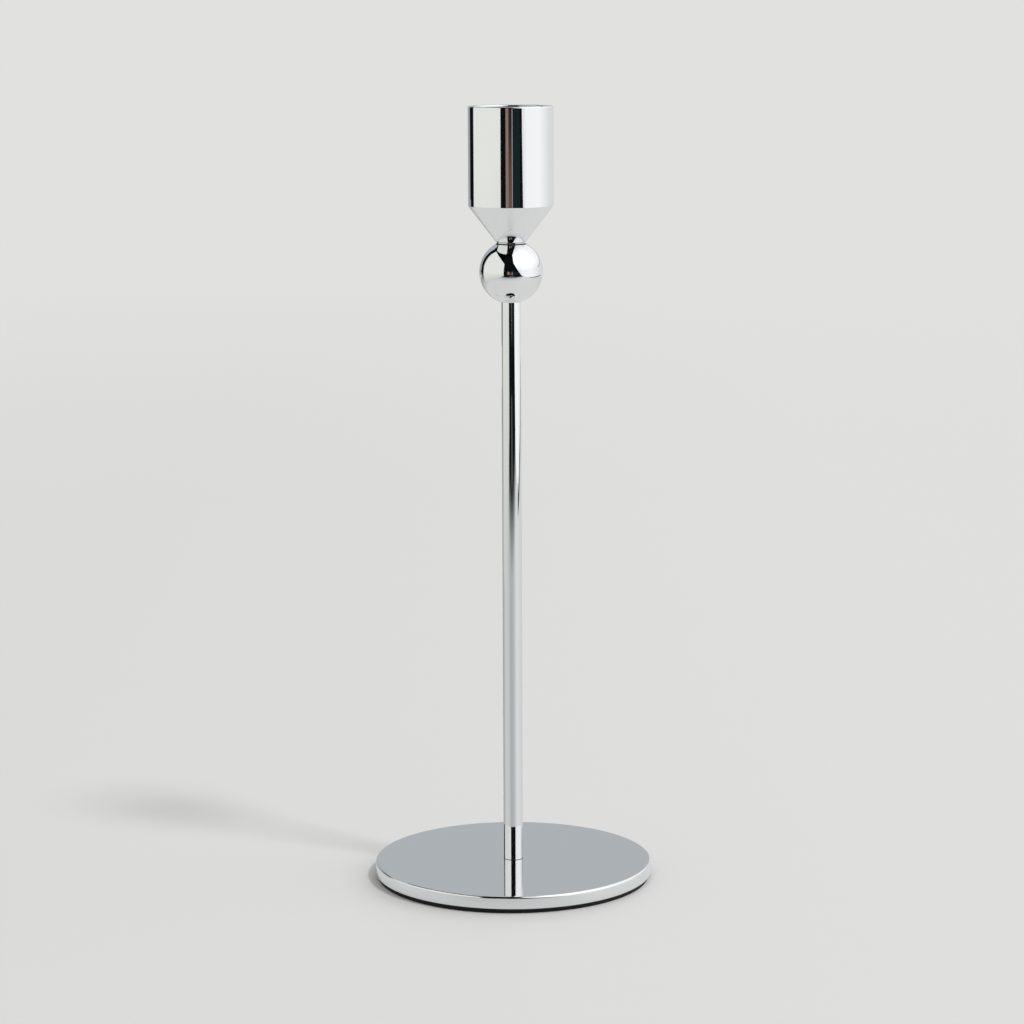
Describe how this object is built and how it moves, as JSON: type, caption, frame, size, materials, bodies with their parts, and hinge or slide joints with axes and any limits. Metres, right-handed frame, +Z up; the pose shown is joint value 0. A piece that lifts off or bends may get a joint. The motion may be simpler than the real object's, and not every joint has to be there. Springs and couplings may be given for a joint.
{
  "type": "altar candlestick",
  "caption": "Polished chrome candlestick for one taper candle: flat round base on a black pad, straight thin stem, ball, and a cup with a cone below and a straight cylinder above.",
  "frame": {"origin": "centre of the base, on the surface that the candlestick stands on", "axes": "+Z up along the stem; the parts are turned about Z, so X and Y only fix the driver recesses and the washer's gap"},
  "size_m": [0.09, 0.09, 0.25],
  "materials": {
    "polished_chrome": "bright mirror chrome plate with a faint orange peel",
    "zinc_steel": "zinc-plated steel, satin",
    "spring_steel": "dark oiled spring steel",
    "pad_rubber": "matt black rubber sheet, firm",
    "film_plastic": "cloudy adhesive film"
  },
  "bodies": {
    "root": {"base_pad": "pad_rubber", "pad_film": "film_plastic", "base_disc": "polished_chrome", "base_screw": "zinc_steel", "stem_rod": "polished_chrome", "ball": "polished_chrome", "candle_cup": "polished_chrome", "cup_plain_washer": "zinc_steel", "cup_spring_washer": "spring_steel", "cup_screw": "zinc_steel"}
  },
  "joints": []
}
